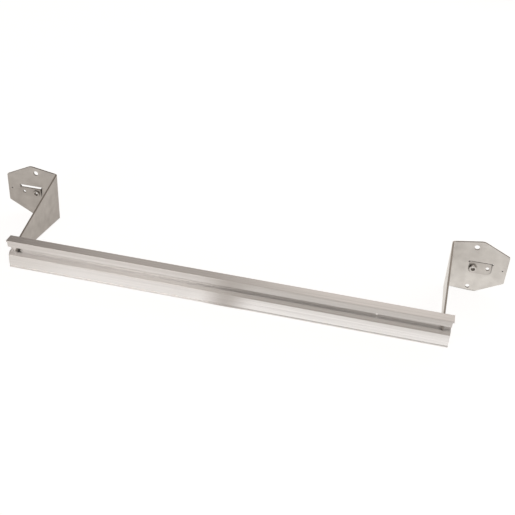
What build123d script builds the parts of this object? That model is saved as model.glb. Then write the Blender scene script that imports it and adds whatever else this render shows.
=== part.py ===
from build123d import *
import math
import os

# Mounting rail: one extruded aluminium rail on two folded sheet steel brackets.
# X runs along the rail, Y runs back from its front face, Z runs up from its bottom edge.
# Sizes are in millimetres.

# Rail section
rail_length = 500.0
end_step = 1.5  # how far the body stops short of the top wall at each end
rail_height = 35.0
rail_depth = 12.5  # of the top wall, which stands out behind the web
channel_depth = 7.0  # from the front face to the web
rail_wall = 1.8
lip_height = 7.5  # front lip that hangs from the top wall
slot_height = 7.7  # mouth of the channel, under the lip
facet = 3.3  # face between the channel's floor and the lower face
facet_angle = 45.0
foot_depth = 6.0  # return wall at the bottom edge
corner_radius = 0.35
groove_height = 2.4  # middle of the line along the lower face
groove_width = 1.7
groove_depth = 0.9

# Bracket sheet
sheet = 2.0
bend_radius = 1.5
stem_inset = 11.2  # from the rail's end to the middle of the stem
bracket_reach = 104.5  # from the back of the rail to the front of the plate
stem_nose_height = 20.0  # stem's height where it meets the rail
edge_radius = 2.0  # of the plate's two outer corners
blunt_radius = 10.0  # of its peak and toe

# Plate outline: distance out from the stem's outer side, and height above the floor
fold_bottom = 1.5
fold_top = 61.0
peak_out = 33.0
peak_height = 66.5
shoulder_out = 64.0
shoulder_height = 51.5
hip_out = 63.5
hip_height = 16.5
toe_out = 32.5
toe_height = -0.4  # before its rounding, which the floor line trims

# Holes in the plate, placed in the same way
upper_hole_out = 26.0
upper_hole_drop = 8.3  # below the plate's peak
upper_hole_radius = 3.0
lower_hole_out = 24.5
lower_hole_height = 5.5
lower_hole_radius = 2.5
edge_hole_out = 59.0
edge_hole_height = 33.0
edge_hole_radius = 0.8

# Slit, and the flap under it that is pressed out of the plate
slit_out = 34.0
slit_height = 38.8
slit_length = 28.5
slit_width = 2.0
flap_width = 26.0
flap_drop = 14.0  # from the slit's middle to the flap's fold
flap_corner = 5.0
flap_rise = 3.0  # how far the flap's top stands out of the plate
flap_seam = 0.5  # flap's overlap with the plate around it
pilot_hole_out = 42.4
pilot_hole_height = 31.5
pilot_hole_radius = 2.0
thread_out = 26.2
thread_height = 31.2
thread_radius = 2.3
collar_wall = 1.6
collar_height = 3.5  # from the plate's front

# Tongue of the stem, through a slot in the web
tongue_height = 6.5
tongue_reach = 5.0  # in front of the web
twist_angle = 30.0
tongue_clearance = 0.25
seat_clearance = 0.1

# Small holes in the web
web_hole_spacing = 340.0
web_hole_radius = 1.25
web_hole_rise = 2.2  # centre above the channel's floor

# Levels of the rail section
body_top = rail_height - rail_wall
lip_bottom = rail_height - lip_height
ledge_top = lip_bottom - slot_height
ledge_bottom = ledge_top - rail_wall
web_back = channel_depth + rail_wall
facet_shift = rail_wall * math.tan(math.radians(facet_angle / 2))

# Places of the bracket
stem_middle = rail_length / 2 - stem_inset
stem_outer = stem_middle + sheet / 2
stem_inner = stem_middle - sheet / 2
stem_start = rail_depth + seat_clearance
stem_front = web_back + seat_clearance
plate_front = rail_depth + bracket_reach
plate_back = plate_front + sheet
bend_start = plate_front - bend_radius
bend_end = stem_outer + bend_radius
nose_bottom = rail_height - stem_nose_height
tongue_middle = ledge_top + 2 * corner_radius + tongue_clearance + tongue_height / 2
upper_hole_height = peak_height - upper_hole_drop
slit_middle = stem_outer + slit_out
blunt_limit = stem_outer + (peak_out + hip_out) / 2
flap_fold = slit_height - flap_drop
flap_length = flap_drop - slit_width / 2


def build_rail():
    with BuildPart() as rail:
        with BuildSketch(Plane.YZ) as section:
            with BuildLine():
                Polyline(
                    (0, lip_bottom),
                    (0, rail_height),
                    (rail_depth, rail_height),
                    (rail_depth, body_top),
                    (web_back, body_top),
                    (web_back, ledge_bottom),
                    (facet + facet_shift, ledge_bottom),
                    (rail_wall, ledge_top - facet - facet_shift),
                    (rail_wall, rail_wall),
                    (foot_depth, rail_wall),
                    (foot_depth, 0),
                    (0, 0),
                    (0, ledge_top - facet),
                    (facet, ledge_top),
                    (channel_depth, ledge_top),
                    (channel_depth, body_top),
                    (rail_wall, body_top),
                    (rail_wall, lip_bottom),
                    close=True,
                )
            make_face()
            fillet(section.vertices(), corner_radius)
            with Locations((0, groove_height)):
                Ellipse(groove_depth, groove_width / 2, mode=Mode.SUBTRACT)
        extrude(amount=rail_length / 2, both=True)

        # Body cut back at both ends, under the top wall
        with Locations((-rail_length / 2, 0, 0), (rail_length / 2, 0, 0)):
            Box(
                2 * end_step,
                rail_depth,
                body_top,
                align=(Align.CENTER, Align.MIN, Align.MIN),
                mode=Mode.SUBTRACT,
            )

        # Slots for the brackets' tongues, and two small holes
        with BuildSketch(Plane.XZ.offset(-web_back)):
            with Locations((-stem_middle, tongue_middle), (stem_middle, tongue_middle)):
                Rectangle(sheet + 2 * tongue_clearance, tongue_height + 2 * tongue_clearance)
            with Locations((0, ledge_top + web_hole_rise)):
                with GridLocations(web_hole_spacing, 0, 2, 1):
                    Circle(web_hole_radius)
        extrude(amount=rail_wall, mode=Mode.SUBTRACT)
    return rail.part


def flap_outline(seam):
    # Flap with its lower corners rounded, from its fold up
    with BuildSketch() as outline:
        with Locations((0, flap_length)):
            Rectangle(flap_width + 2 * seam, flap_length + seam, align=(Align.CENTER, Align.MAX))
        lower_corners = outline.vertices().group_by(Axis.Y)[0]
        fillet(lower_corners, flap_corner)
    return outline.sketch


def build_bracket(flap_rise_back):
    # Right-hand bracket, its flap pressed back, or forward where the rise is negative
    flap_angle = math.atan(flap_rise_back / flap_drop)
    flap_normal = (0, -math.cos(flap_angle), math.sin(flap_angle))
    collar_root = plate_front + sheet / 2 + (thread_height - flap_fold) * math.tan(flap_angle)

    with BuildPart() as bracket:
        # Strip of sheet with its bend, seen from above
        with BuildSketch():
            with BuildLine():
                Polyline(
                    (bend_end, plate_back),
                    (stem_outer + shoulder_out, plate_back),
                    (stem_outer + shoulder_out, plate_front),
                    (bend_end, plate_front),
                )
                RadiusArc((bend_end, plate_front), (stem_outer, bend_start), -bend_radius)
                Polyline(
                    (stem_outer, bend_start),
                    (stem_outer, rail_wall),
                    (stem_inner, rail_wall),
                    (stem_inner, bend_start),
                )
                RadiusArc((stem_inner, bend_start), (bend_end, plate_back), bend_radius + sheet)
            make_face()
        extrude(amount=peak_height)

        # Side outline of the stem: tapered, with the tongue above the rail's ledge
        with BuildSketch(Plane.YZ):
            with BuildLine():
                Polyline(
                    (bend_start, fold_top),
                    (stem_start, rail_height),
                    (stem_start, body_top - seat_clearance),
                    (stem_front, body_top - seat_clearance),
                    (stem_front, tongue_middle + tongue_height / 2),
                    (channel_depth, tongue_middle + tongue_height / 2),
                    (channel_depth, tongue_middle - tongue_height / 2),
                    (stem_front, tongue_middle - tongue_height / 2),
                    (stem_front, ledge_bottom - seat_clearance),
                    (facet + rail_wall, ledge_bottom - seat_clearance),
                    (facet + rail_wall, nose_bottom),
                    (stem_front, nose_bottom),
                    (bend_start, fold_bottom),
                    close=True,
                )
            make_face()
            with BuildLine():
                Polyline(
                    (bend_start, 0),
                    (plate_back, 0),
                    (plate_back, peak_height),
                    (bend_start, peak_height),
                    close=True,
                )
            make_face()
        extrude(amount=stem_outer + shoulder_out, mode=Mode.INTERSECT)

        # Front outline of the plate
        with BuildSketch(Plane.XZ.offset(-plate_back)) as plate_outline:
            with BuildLine():
                Polyline(
                    (stem_outer, fold_top),
                    (stem_outer + peak_out, peak_height),
                    (stem_outer + shoulder_out, shoulder_height),
                    (stem_outer + hip_out, hip_height),
                    (stem_outer + toe_out, toe_height),
                    (stem_outer, fold_bottom),
                    (stem_inner, fold_bottom),
                    (stem_inner, fold_top),
                    close=True,
                )
            make_face()
            outer_corners = plate_outline.vertices().filter_by(lambda v: v.X > blunt_limit)
            fillet(outer_corners, edge_radius)
            blunt_corners = plate_outline.vertices().filter_by(lambda v: bend_end < v.X < blunt_limit)
            fillet(blunt_corners, blunt_radius)
        extrude(amount=plate_back, mode=Mode.INTERSECT)

        # Opening for the flap, then the flap tilted out of it
        opening_plane = Plane((slit_middle, plate_back, flap_fold), x_dir=(1, 0, 0), z_dir=(0, -1, 0))
        with BuildSketch(opening_plane):
            add(flap_outline(0))
        extrude(amount=sheet, mode=Mode.SUBTRACT)
        flap_plane = Plane((slit_middle, plate_front, flap_fold), x_dir=(1, 0, 0), z_dir=flap_normal)
        with BuildSketch(flap_plane):
            add(flap_outline(flap_seam))
        extrude(amount=-sheet)

        # Collar of the threaded hole
        with BuildSketch(Plane.XZ.offset(-collar_root)):
            with Locations((stem_outer + thread_out, thread_height)):
                Circle(thread_radius + collar_wall)
        extrude(amount=collar_root - plate_front + collar_height)

        with BuildSketch(Plane.XZ.offset(-plate_back - flap_rise)):
            with Locations((stem_outer + upper_hole_out, upper_hole_height)):
                Circle(upper_hole_radius)
            with Locations((stem_outer + lower_hole_out, lower_hole_height)):
                Circle(lower_hole_radius)
            with Locations((stem_outer + edge_hole_out, edge_hole_height)):
                Circle(edge_hole_radius)
            with Locations((stem_outer + pilot_hole_out, pilot_hole_height)):
                Circle(pilot_hole_radius)
            with Locations((stem_outer + thread_out, thread_height)):
                Circle(thread_radius)
        extrude(amount=flap_rise + sheet + collar_height, mode=Mode.SUBTRACT)

        with BuildSketch(Plane.XZ.offset(-plate_back)):
            with Locations((slit_middle, slit_height)):
                SlotOverall(slit_length, slit_width)
        extrude(amount=sheet, mode=Mode.SUBTRACT)

        # Twisted end of the tongue, in front of the web
        tongue_plane = Plane.XZ.offset(-channel_depth)
        with BuildSketch(tongue_plane) as tongue_root:
            with Locations((stem_middle, tongue_middle)):
                Rectangle(sheet, tongue_height)
        with BuildSketch(tongue_plane.offset(tongue_reach)) as tongue_end:
            with Locations((stem_middle, tongue_middle)):
                Rectangle(sheet, tongue_height, rotation=twist_angle)
        loft([tongue_root.sketch, tongue_end.sketch], ruled=True)
    return bracket.part


# Both brackets come from one punched blank, folded to opposite sides,
# so the flap stands forward on the left one and back on the right one.
pieces = {
    "rail": build_rail(),
    "left_bracket": mirror(build_bracket(-flap_rise), about=Plane.YZ),
    "right_bracket": build_bracket(flap_rise),
}

os.makedirs("parts", exist_ok=True)
for name, piece in pieces.items():
    piece.label = name
    export_step(piece, f"parts/{name}.step")
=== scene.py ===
import bpy
import math
from mathutils import Matrix

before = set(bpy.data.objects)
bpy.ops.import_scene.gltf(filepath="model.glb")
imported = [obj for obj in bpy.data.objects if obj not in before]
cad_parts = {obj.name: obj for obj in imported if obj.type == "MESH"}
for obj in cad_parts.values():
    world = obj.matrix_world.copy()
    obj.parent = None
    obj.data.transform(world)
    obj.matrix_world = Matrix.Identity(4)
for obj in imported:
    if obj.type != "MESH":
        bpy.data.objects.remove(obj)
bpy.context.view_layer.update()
print("frame loaded")

mm = 0.001

cameraView = {
    "place": (0.1875, -0.7748, 0.5873),
    "azimuth": 10.907,  # degrees to the right of the rail's middle
    "elevation": 33.172,
    "tilt": 3.98,
    "lens": 62.84,
    "sensor": 36.0,
}

# Colours of light are what a mirror in that place would show
studio = {
    "floorSize": 8.0,
    "floorColour": "#f6f4f2",
    "glow": 0.92,  # share of the floor's white that needs no lamp
    "background": 1.0,
    "shadow": 0.4,  # share of lit paper in what the camera sees, the rest is even white
    "paperWhite": 1.44,  # over 1, because the lit paper alone is darker than white
    "room": "#b7afa8",
    "roomLeft": "#857d77",
    "leftFrom": -0.29,  # how far the light's direction points to the left, -1 is straight left
    "leftTo": -0.445,
    "cameraReach": 50,
}

# What the metal sees in the floor and the camera doesn't: a bright strip at the rail's foot with a soft
# break in the middle, greyer further out. The places are in metres.
floorLight = {
    "strength": 1.25,
    "nearLeft": "#e3dfdc",
    "nearRight": "#fcf8f5",
    "leftEnd": "#d3cec9",
    "leftEndFrom": -0.165,
    "leftEndTo": -0.245,
    "break": "#b9b2ad",
    "breakAt": 0.002,
    "breakHalf": 0.036,
    "frontLeft": "#bab3ae",
    "frontRight": "#aaa39c",
    "frontFrom": -0.028,
    "frontTo": -0.036,
    "pastEnd": "#e8e2dc",  # beyond the rail's right end
    "pastEndFrom": 0.26,
    "pastEndTo": 0.275,
    "behindFrom": 0.01,
    "behindTo": 0.012,
    "changeFrom": -0.05,
    "changeTo": -0.005,
    "backLeft": "#b1aaa4",
    "backRight": "#ece7e2",
    "backFrom": -0.27,
    "backTo": 0.2,
    "railShadeFrom": 0.005,
    "railShadeTo": 0.085,
}

softboxes = {
    "front left": {
        "place": (-0.603, -1.2, 0.39),
        "size": (0.654, 0.6),
        "turn": (90, -4, 0),
        "level": 2.3,
    },
    "back right": {
        "place": (0.67, 1.3, 1.0),
        "size": (1.66, 1.6),
        "turn": (-90, 12, 0),
        "level": 0.45,
    },
}
lampColour = "#fff7f1"

railFinish = {
    "light": "#ffffff",
    "dark": "#d6d5d4",
    "roughness": 0.27,
    "anisotropy": 1.0,
    "lineWidth": 1.3,  # mm, drawn coarser than the die's real lines so that they show
    "lineLength": 260.0,
    "lineDepth": 0.012,
    "edgeRound": 0.25,
}

sheetFinish = {
    "light": "#ecebe8",
    "dark": "#bdbbb8",
    "smooth": 0.32,
    "rough": 0.4,
    "grainSize": 0.9,  # mm
    "grainDepth": 0.005,
    "cloudSize": 13.0,
    "edgeRound": 0.25,
}

# Cut steel of the sheet's edges in lit and shaded tones of one steel: lighter on the stem's edges, darker as
# painted shade on the plate's edges and holes and on the tongue
stemEdge = {
    "name": "stem_steel_edge_lit_tone",
    "light": "#c4bfb9",
    "dark": "#a39e98",
    "deep": "#2f2c2a",
    "roughness": 0.4,
    "tearSize": 0.7,  # mm
    "tearDepth": 0.02,
}

plateEdge = {
    "name": "plate_steel_edge_shaded_tone",
    "light": "#9d9892",
    "dark": "#7b7671",
    "deep": "#2f2c2a",
    "roughness": 0.45,
    "tearSize": 0.7,  # mm
    "tearDepth": 0.02,
}

raisedEdge = {
    "name": "steel_edge_painted_highlight",  # top of the flap that stands forward, drawn bright as a painted highlight
    "light": "#f2efec",
    "dark": "#d2cecb",
    "deep": "#c6c1bc",
    "roughness": 0.35,
    "tearSize": 0.7,  # mm
    "tearDepth": 0.01,
}

sunkEdge = {
    "name": "steel_edge_painted_shade",  # top of the flap that stands back, drawn dark as painted shade in the slit
    "light": "#3c3835",
    "dark": "#2c2927",
    "deep": "#1d1b1a",
    "roughness": 0.5,
    "tearSize": 0.7,  # mm
    "tearDepth": 0.02,
}

# Shade in holes and behind the flap, drawn darker than the light alone makes it
crevice = {
    "reach": 4.0,  # mm
    "samples": 8,
    "plated": "#54504c",
    "from": 0.25,  # share of open sky at which it is darkest
    "to": 0.8,
}

# Places on a bracket, in metres
bracketPlaces = {
    "tongueDepth": 0.0128,  # in front of this the tongue, cut end and faces alike, takes the darker edge steel as painted shade in the rail's channel
    "bendSide": 0.2413,  # where the plate begins, past the bend
    "threadSide": 0.266,
    "threadHeight": 0.0312,
    "collarInside": 0.003,  # between the radius of the bore and of the collar
    "collarOutside": 0.0042,
    "flapTopFrom": 0.036,
    "flapTopTo": 0.0395,
    "plateFront": 0.117,
    "upright": 0.3,  # a face whose normal rises less than this stands upright
    "level": 0.9,  # and one above this lies level
    "sideways": 0.99,
}


def hexColour(code):
    parts = [int(code[i:i + 2], 16) / 255 for i in (1, 3, 5)]
    linear = [c / 12.92 if c <= 0.04045 else ((c + 0.055) / 1.055) ** 2.4 for c in parts]
    return (*linear, 1.0)


def addNode(tree, kind, settings=None, links=None):
    # settings are attributes or input values, links go from an input to an output socket
    node = tree.nodes.new(kind)
    for key, value in (settings or {}).items():
        if isinstance(key, int) or key in node.inputs:
            node.inputs[key].default_value = value
        else:
            setattr(node, key, value)
    for key, source in (links or {}).items():
        tree.links.new(source, node.inputs[key])
    return node


def newMaterial(name):
    material = bpy.data.materials.new(name)
    material.use_nodes = True
    material.node_tree.nodes.clear()
    return material, material.node_tree


def mixColours(tree, factor, first, second):
    # each of the two is a hex colour or an output socket
    mix = addNode(tree, "ShaderNodeMix", {"data_type": "RGBA"}, {0: factor})
    for key, colour in ((6, first), (7, second)):
        if isinstance(colour, str):
            mix.inputs[key].default_value = hexColour(colour)
        else:
            tree.links.new(colour, mix.inputs[key])
    return mix.outputs[2]


def placeCamera():
    data = bpy.data.cameras.new("camera")
    data.lens = cameraView["lens"]
    data.sensor_width = cameraView["sensor"]
    data.clip_end = studio["cameraReach"]
    camera = bpy.data.objects.new("camera", data)
    turn = Matrix.Rotation(math.radians(cameraView["azimuth"]), 4, "Z")
    look = Matrix.Rotation(math.radians(90 - cameraView["elevation"]), 4, "X")
    tilt = Matrix.Rotation(math.radians(cameraView["tilt"]), 4, "Z")
    camera.matrix_world = Matrix.Translation(cameraView["place"]) @ turn @ look @ tilt
    bpy.context.scene.collection.objects.link(camera)
    bpy.context.scene.camera = camera


def fade(tree, value, start, end):
    # 0 to 1 along a coordinate, with soft ends
    settings = {"interpolation_type": "SMOOTHSTEP", "From Min": start, "From Max": end}
    return addNode(tree, "ShaderNodeMapRange", settings, {"Value": value}).outputs[0]


def makeFloor():
    bpy.ops.mesh.primitive_plane_add(size=studio["floorSize"])
    floor = bpy.context.object
    floor.name = "floor"
    light = floorLight
    material, tree = newMaterial("studio_paper")
    path = addNode(tree, "ShaderNodeLightPath")
    place = addNode(tree, "ShaderNodeTexCoord")
    split = addNode(tree, "ShaderNodeSeparateXYZ", None, {"Vector": place.outputs["Object"]})
    along = split.outputs["X"]
    depth = split.outputs["Y"]
    shifted = addNode(tree, "ShaderNodeMath", {"operation": "SUBTRACT", 1: light["breakAt"]}, {0: along})
    distance = addNode(tree, "ShaderNodeMath", {"operation": "ABSOLUTE"}, {0: shifted.outputs[0]})
    inBreak = fade(tree, distance.outputs[0], light["breakHalf"], 0)
    toRight = fade(tree, along, light["changeFrom"], light["changeTo"])
    near = mixColours(tree, toRight, light["nearLeft"], light["nearRight"])
    atLeftEnd = fade(tree, along, light["leftEndFrom"], light["leftEndTo"])
    near = mixColours(tree, atLeftEnd, near, light["leftEnd"])
    near = mixColours(tree, inBreak, near, light["break"])
    front = mixColours(tree, toRight, light["frontLeft"], light["frontRight"])
    pastEnd = fade(tree, along, light["pastEndFrom"], light["pastEndTo"])
    front = mixColours(tree, pastEnd, front, light["pastEnd"])
    fromRail = fade(tree, depth, light["railShadeFrom"], light["railShadeTo"])
    behindRight = fade(tree, along, light["backFrom"], light["backTo"])
    bright = addNode(tree, "ShaderNodeMath", {"operation": "MULTIPLY"}, {0: behindRight, 1: fromRail})
    behind = mixColours(tree, bright.outputs[0], light["backLeft"], light["backRight"])
    inFront = mixColours(tree, fade(tree, depth, light["frontFrom"], light["frontTo"]), near, front)
    isBehind = fade(tree, depth, light["behindFrom"], light["behindTo"])
    reflected = mixColours(tree, isBehind, inFront, behind)
    glow = addNode(tree, "ShaderNodeEmission", {"Strength": light["strength"]}, {"Color": reflected})
    white = addNode(tree, "ShaderNodeEmission", {"Color": (1, 1, 1, 1), "Strength": studio["paperWhite"]})
    paper = addNode(tree, "ShaderNodeBsdfDiffuse", {"Color": hexColour(studio["floorColour"])})
    lit = addNode(tree, "ShaderNodeMixShader", {"Fac": studio["glow"]},
                  {1: paper.outputs[0], 2: glow.outputs[0]})
    view = addNode(tree, "ShaderNodeMixShader", {"Fac": studio["shadow"]},
                   {1: white.outputs[0], 2: paper.outputs[0]})
    seen = addNode(tree, "ShaderNodeMixShader", None,
                   {"Fac": path.outputs["Is Camera Ray"], 1: lit.outputs[0], 2: view.outputs[0]})
    addNode(tree, "ShaderNodeOutputMaterial", None, {"Surface": seen.outputs[0]})
    floor.data.materials.append(material)


def makeRoom():
    world = bpy.data.worlds.new("studio")
    bpy.context.scene.world = world
    world.use_nodes = True
    tree = world.node_tree
    tree.nodes.clear()
    path = addNode(tree, "ShaderNodeLightPath")
    place = addNode(tree, "ShaderNodeTexCoord")
    split = addNode(tree, "ShaderNodeSeparateXYZ", None, {"Vector": place.outputs["Generated"]})
    toLeft = fade(tree, split.outputs["X"], studio["leftFrom"], studio["leftTo"])
    colour = mixColours(tree, toLeft, studio["room"], studio["roomLeft"])
    room = addNode(tree, "ShaderNodeBackground", {"Strength": 1.0}, {"Color": colour})
    white = addNode(tree, "ShaderNodeBackground", {"Color": (1, 1, 1, 1), "Strength": studio["background"]})
    seen = addNode(tree, "ShaderNodeMixShader", None,
                   {"Fac": path.outputs["Is Camera Ray"], 1: room.outputs[0], 2: white.outputs[0]})
    addNode(tree, "ShaderNodeOutputWorld", None, {"Surface": seen.outputs[0]})


def addSoftbox(name, place, size, turn, level):
    # the level is what a mirror would show, 1 is paper white
    data = bpy.data.lights.new(name, "AREA")
    data.shape = "RECTANGLE"
    data.size = size[0]
    data.size_y = size[1]
    data.color = hexColour(lampColour)[:3]
    data.energy = level * math.pi * size[0] * size[1]
    lamp = bpy.data.objects.new(name, data)
    lamp.location = place
    lamp.rotation_euler = [math.radians(angle) for angle in turn]
    bpy.context.scene.collection.objects.link(lamp)


def railMaterial():
    # mill finish aluminium: the die's lines run along X and spread its highlights across the rail
    finish = railFinish
    material, tree = newMaterial("extruded_aluminium")
    place = addNode(tree, "ShaderNodeTexCoord")
    across = 1 / (finish["lineWidth"] * mm)
    along = 1 / (finish["lineLength"] * mm)
    stretched = addNode(tree, "ShaderNodeMapping", {"Scale": (along, across, across)},
                        {"Vector": place.outputs["Object"]})
    lines = addNode(tree, "ShaderNodeTexNoise", {"Scale": 1.0, "Detail": 3.0, "Roughness": 0.6},
                    {"Vector": stretched.outputs[0]})
    colour = mixColours(tree, lines.outputs["Fac"], finish["dark"], finish["light"])
    rounded = addNode(tree, "ShaderNodeBevel", {"samples": 4, "Radius": finish["edgeRound"] * mm})
    bump = addNode(tree, "ShaderNodeBump", {"Strength": 1.0, "Distance": finish["lineDepth"] * mm},
                   {"Height": lines.outputs["Fac"], "Normal": rounded.outputs[0]})
    shape = addNode(tree, "ShaderNodeNewGeometry")
    tangent = addNode(tree, "ShaderNodeVectorMath", {"operation": "CROSS_PRODUCT", 1: (1, 0, 0)},
                      {0: shape.outputs["Normal"]})
    metal = addNode(tree, "ShaderNodeBsdfPrincipled",
                    {"Metallic": 1.0, "Roughness": finish["roughness"], "Anisotropic": finish["anisotropy"]},
                    {"Base Color": colour, "Normal": bump.outputs[0], "Tangent": tangent.outputs[0]})
    addNode(tree, "ShaderNodeOutputMaterial", None, {"Surface": metal.outputs[0]})
    return material


def openSky(tree):
    # 0 deep in a hole, 1 on an open face
    settings = {"samples": crevice["samples"], "Distance": crevice["reach"] * mm}
    sky = addNode(tree, "ShaderNodeAmbientOcclusion", settings)
    return fade(tree, sky.outputs["AO"], crevice["from"], crevice["to"])


def sheetMaterial():
    # steel sheet, zinc plated: a soft grey shine with a faint grain and cloudy patches
    finish = sheetFinish
    material, tree = newMaterial("zinc_plated_steel")
    place = addNode(tree, "ShaderNodeTexCoord")
    cloud = addNode(tree, "ShaderNodeTexNoise", {"Scale": 1 / (finish["cloudSize"] * mm), "Detail": 4.0},
                    {"Vector": place.outputs["Object"]})
    colour = mixColours(tree, cloud.outputs["Fac"], finish["dark"], finish["light"])
    # painted shade: the plating turns darker deep in holes and behind the flap
    colour = mixColours(tree, openSky(tree), crevice["plated"], colour)
    sheen = addNode(tree, "ShaderNodeMapRange", {"To Min": finish["rough"], "To Max": finish["smooth"]},
                    {"Value": cloud.outputs["Fac"]})
    grain = addNode(tree, "ShaderNodeTexNoise", {"Scale": 1 / (finish["grainSize"] * mm), "Detail": 3.0},
                    {"Vector": place.outputs["Object"]})
    rounded = addNode(tree, "ShaderNodeBevel", {"samples": 4, "Radius": finish["edgeRound"] * mm})
    bump = addNode(tree, "ShaderNodeBump", {"Strength": 1.0, "Distance": finish["grainDepth"] * mm},
                   {"Height": grain.outputs["Fac"], "Normal": rounded.outputs[0]})
    metal = addNode(tree, "ShaderNodeBsdfPrincipled", {"Metallic": 1.0},
                    {"Base Color": colour, "Roughness": sheen.outputs[0], "Normal": bump.outputs[0]})
    addNode(tree, "ShaderNodeOutputMaterial", None, {"Surface": metal.outputs[0]})
    return material


def edgeMaterial(finish):
    # cut edges of the sheet: torn bare steel, duller than the plated faces
    material, tree = newMaterial(finish["name"])
    place = addNode(tree, "ShaderNodeTexCoord")
    tears = addNode(tree, "ShaderNodeTexNoise", {"Scale": 1 / (finish["tearSize"] * mm), "Detail": 3.0},
                    {"Vector": place.outputs["Object"]})
    colour = mixColours(tree, tears.outputs["Fac"], finish["dark"], finish["light"])
    # painted shade: the cut steel turns darker deep in holes and in the slit
    colour = mixColours(tree, openSky(tree), finish["deep"], colour)
    bump = addNode(tree, "ShaderNodeBump", {"Strength": 1.0, "Distance": finish["tearDepth"] * mm},
                   {"Height": tears.outputs["Fac"]})
    metal = addNode(tree, "ShaderNodeBsdfPrincipled", {"Metallic": 1.0, "Roughness": finish["roughness"]},
                    {"Base Color": colour, "Normal": bump.outputs[0]})
    addNode(tree, "ShaderNodeOutputMaterial", None, {"Surface": metal.outputs[0]})
    return material


def dress(nodeName, material):
    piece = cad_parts[nodeName]
    piece.data.materials.clear()
    piece.data.materials.append(material)
    return piece


def markEdges(piece, edges):
    # slots: 1 stem edges in the lit tone, 2 plate edges and tongue in the shaded tone, 3 and 4 the flap's
    # top edge with painted highlight and painted shade, 0 stays on the sheet's two sides
    for material in edges:
        piece.data.materials.append(material)
    places = bracketPlaces
    for face in piece.data.polygons:
        side, depth, height = abs(face.center.x), face.center.y, face.center.z
        upright = abs(face.normal.z) < places["upright"]
        onPlate = side > places["bendSide"]
        fromBore = math.hypot(side - places["threadSide"], height - places["threadHeight"])
        isCollar = places["collarInside"] < fromBore < places["collarOutside"]
        isLevel = face.normal.z > places["level"]
        isFlapTop = isLevel and places["flapTopFrom"] < height < places["flapTopTo"]
        if isCollar:
            continue
        if isFlapTop:
            # slot 3 puts a painted highlight on the forward flap's top, slot 4 painted shade on the sunk
            # flap's top
            face.material_index = 3 if depth < places["plateFront"] else 4
        elif onPlate and (not upright or abs(face.normal.y) < places["upright"]):
            face.material_index = 2
        elif not upright:
            face.material_index = 1
        # the tongue takes the darker edge steel: painted shade in the rail's channel
        if depth < places["tongueDepth"] and abs(face.normal.x) < places["sideways"]:
            face.material_index = 2


placeCamera()
makeFloor()
makeRoom()
for name, box in softboxes.items():
    addSoftbox(name, **box)
print("studio ready")

dress("rail", railMaterial())
sheet = sheetMaterial()
edges = [edgeMaterial(finish) for finish in (stemEdge, plateEdge, raisedEdge, sunkEdge)]
for name in ("left_bracket", "right_bracket"):
    markEdges(dress(name, sheet), edges)
print("finishes ready")

bpy.context.scene.view_settings.view_transform = "Standard"
